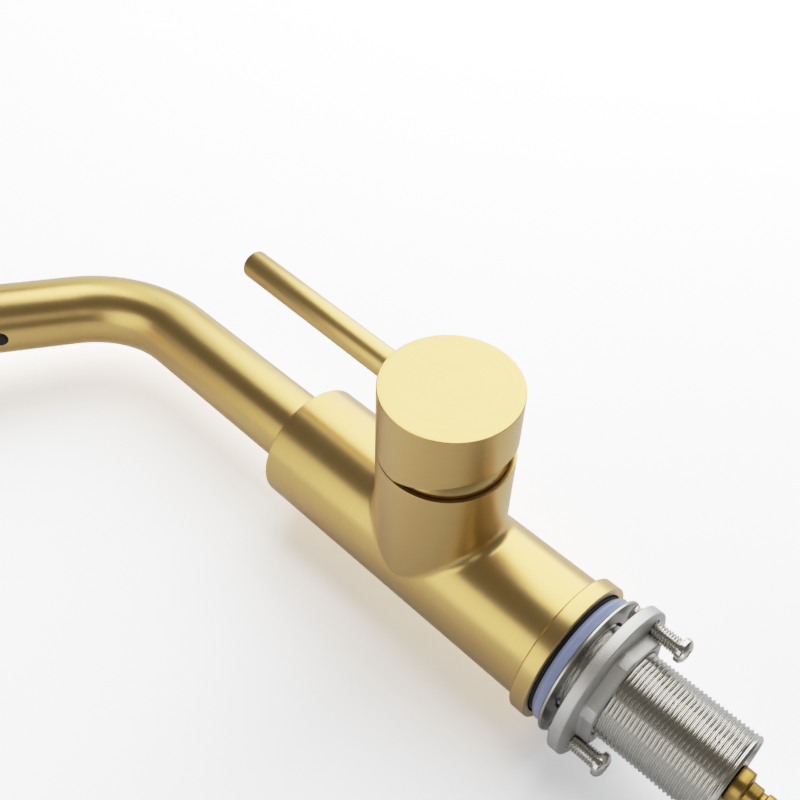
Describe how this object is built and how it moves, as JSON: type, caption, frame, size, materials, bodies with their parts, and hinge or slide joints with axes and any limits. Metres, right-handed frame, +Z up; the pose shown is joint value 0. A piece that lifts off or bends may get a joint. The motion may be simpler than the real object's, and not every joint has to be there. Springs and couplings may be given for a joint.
{
  "type": "pull-out kitchen faucet",
  "caption": "Single-hole kitchen faucet: round column body with a side lever on a cylindrical cap, bent round spout with a pull-out spray wand, and a deck clamping set.",
  "frame": {"origin": "centre of the base ring's underside, on the body's axis, at deck level", "axes": "+Z up along the body's axis, +X towards the lever side, -Y the way the spout points, turned 6 degrees towards +X"},
  "size_m": [0.1068, 0.2341, 0.4038],
  "materials": {
    "base_ring": "brushed gold plating",
    "base_seal": "moulded black rubber",
    "deck_gasket": "translucent moulded plastic",
    "clamp_washer": "pressed stainless steel",
    "mounting_nut": "tumbled zinc die casting",
    "threaded_shank": "nickel-plated brass with a rolled thread",
    "faucet_body": "brushed gold plating",
    "spout_stop_screw": "stainless steel",
    "jack_screw": "stainless steel",
    "cartridge_base": "moulded grey plastic",
    "cartridge_housing": "moulded white plastic",
    "fixed_disc": "lapped alumina ceramic",
    "moving_disc": "lapped alumina ceramic",
    "disc_carrier": "moulded white plastic",
    "swivel_guide": "moulded grey plastic",
    "pivot_pin": "ground stainless pin",
    "spindle": "machined brass",
    "cartridge_nut": "machined brass",
    "dome_ring": "brushed gold plating",
    "handle_cap": "brushed gold plating",
    "lever_rod": "brushed gold plating",
    "grub_screw": "stainless steel",
    "handle_plug": "brushed gold plating",
    "port_seal": "moulded black rubber",
    "spout_tube": "brushed gold plating",
    "spout_adapter": "machined brass",
    "spout_seal": "moulded black rubber",
    "glide_ring": "moulded acetal",
    "spray_hose": "braided nylon sleeve",
    "hose_connector": "machined brass",
    "wand_dock": "moulded black plastic",
    "wand_shell": "brushed gold plating",
    "mode_button": "moulded black rubber",
    "button_spring": "stainless spring wire",
    "wand_core": "moulded black plastic",
    "hose_nut": "machined brass",
    "check_valve": "moulded white plastic",
    "elbow_tube": "moulded black plastic",
    "face_housing": "moulded black plastic",
    "nozzle_mat": "moulded silicone",
    "spray_face": "moulded grey plastic",
    "aerator": "moulded black plastic"
  },
  "bodies": {
    "body": {"base_ring": "base_ring", "base_seal": "base_seal", "deck_gasket": "deck_gasket", "threaded_shank": "threaded_shank", "faucet_body": "faucet_body", "spout_stop_screw": "spout_stop_screw", "glide_ring": "glide_ring", "cartridge_base": "cartridge_base", "cartridge_housing": "cartridge_housing", "fixed_disc": "fixed_disc", "port_seal_hot": "port_seal", "port_seal_cold": "port_seal", "port_seal_mixed": "port_seal", "cartridge_nut": "cartridge_nut", "dome_ring": "dome_ring"},
    "clamp": {"clamp_washer": "clamp_washer", "mounting_nut": "mounting_nut"},
    "jack_1": {"jack_screw_1": "jack_screw"},
    "jack_2": {"jack_screw_2": "jack_screw"},
    "handle_swivel": {"swivel_guide": "swivel_guide", "pivot_pin": "pivot_pin"},
    "disc_slide": {"moving_disc": "moving_disc", "disc_carrier": "disc_carrier"},
    "handle": {"spindle": "spindle", "handle_cap": "handle_cap", "lever_rod": "lever_rod", "grub_screw": "grub_screw", "handle_plug": "handle_plug"},
    "spout": {"spout_tube": "spout_tube", "spout_adapter": "spout_adapter", "spout_seal_lower": "spout_seal", "spout_seal_upper": "spout_seal", "wand_dock": "wand_dock", "spray_hose": "spray_hose", "hose_connector": "hose_connector"},
    "wand": {"wand_shell": "wand_shell", "wand_core": "wand_core", "hose_nut": "hose_nut", "check_valve": "check_valve", "elbow_tube": "elbow_tube", "face_housing": "face_housing", "nozzle_mat": "nozzle_mat", "spray_face": "spray_face", "aerator": "aerator", "button_spring": "button_spring"},
    "button": {"mode_button": "mode_button"}
  },
  "joints": [
    {"name": "handle_turn", "type": "hinge", "parent": "body", "child": "handle_swivel", "pos_m": [0.044, 0, 0.0609], "axis": [1, 0, 0], "range_deg": [-45, 45]},
    {"name": "handle_lift", "type": "hinge", "parent": "handle_swivel", "child": "handle", "pos_m": [0.044, 0, 0.0609], "axis": [0, 1, 0], "range_deg": [0, 17]},
    {"name": "disc_shift", "type": "slide", "parent": "handle_swivel", "child": "disc_slide", "axis": [0, 0, 1], "range_m": [0, 0.0043]},
    {"name": "spout_swivel", "type": "hinge", "parent": "body", "child": "spout", "pos_m": [0, 0, 0.1], "axis": [0, 0, 1], "range_deg": [-180, 180]},
    {"name": "wand_pull", "type": "slide", "parent": "spout", "child": "wand", "axis": [0.0927, -0.8845, 0.4573], "range_m": [0, 0.35]},
    {"name": "mode_press", "type": "slide", "parent": "wand", "child": "button", "axis": [-0.0476, 0.4548, 0.8893], "range_m": [0, 0.0015], "stiffness_N_per_m": 800, "deforming": ["button_spring"]},
    {"name": "clamp_travel", "type": "slide", "parent": "body", "child": "clamp", "axis": [0, 0, -1], "range_m": [0, 0.035]},
    {"name": "jack_1_travel", "type": "slide", "parent": "clamp", "child": "jack_1", "axis": [0, 0, -1], "range_m": [0, 0.01]},
    {"name": "jack_2_travel", "type": "slide", "parent": "clamp", "child": "jack_2", "axis": [0, 0, -1], "range_m": [0, 0.01]}
  ],
  "couplings": [
    {"joint": "disc_shift", "follows": "handle_lift", "m_per_rad": 0.0142}
  ]
}
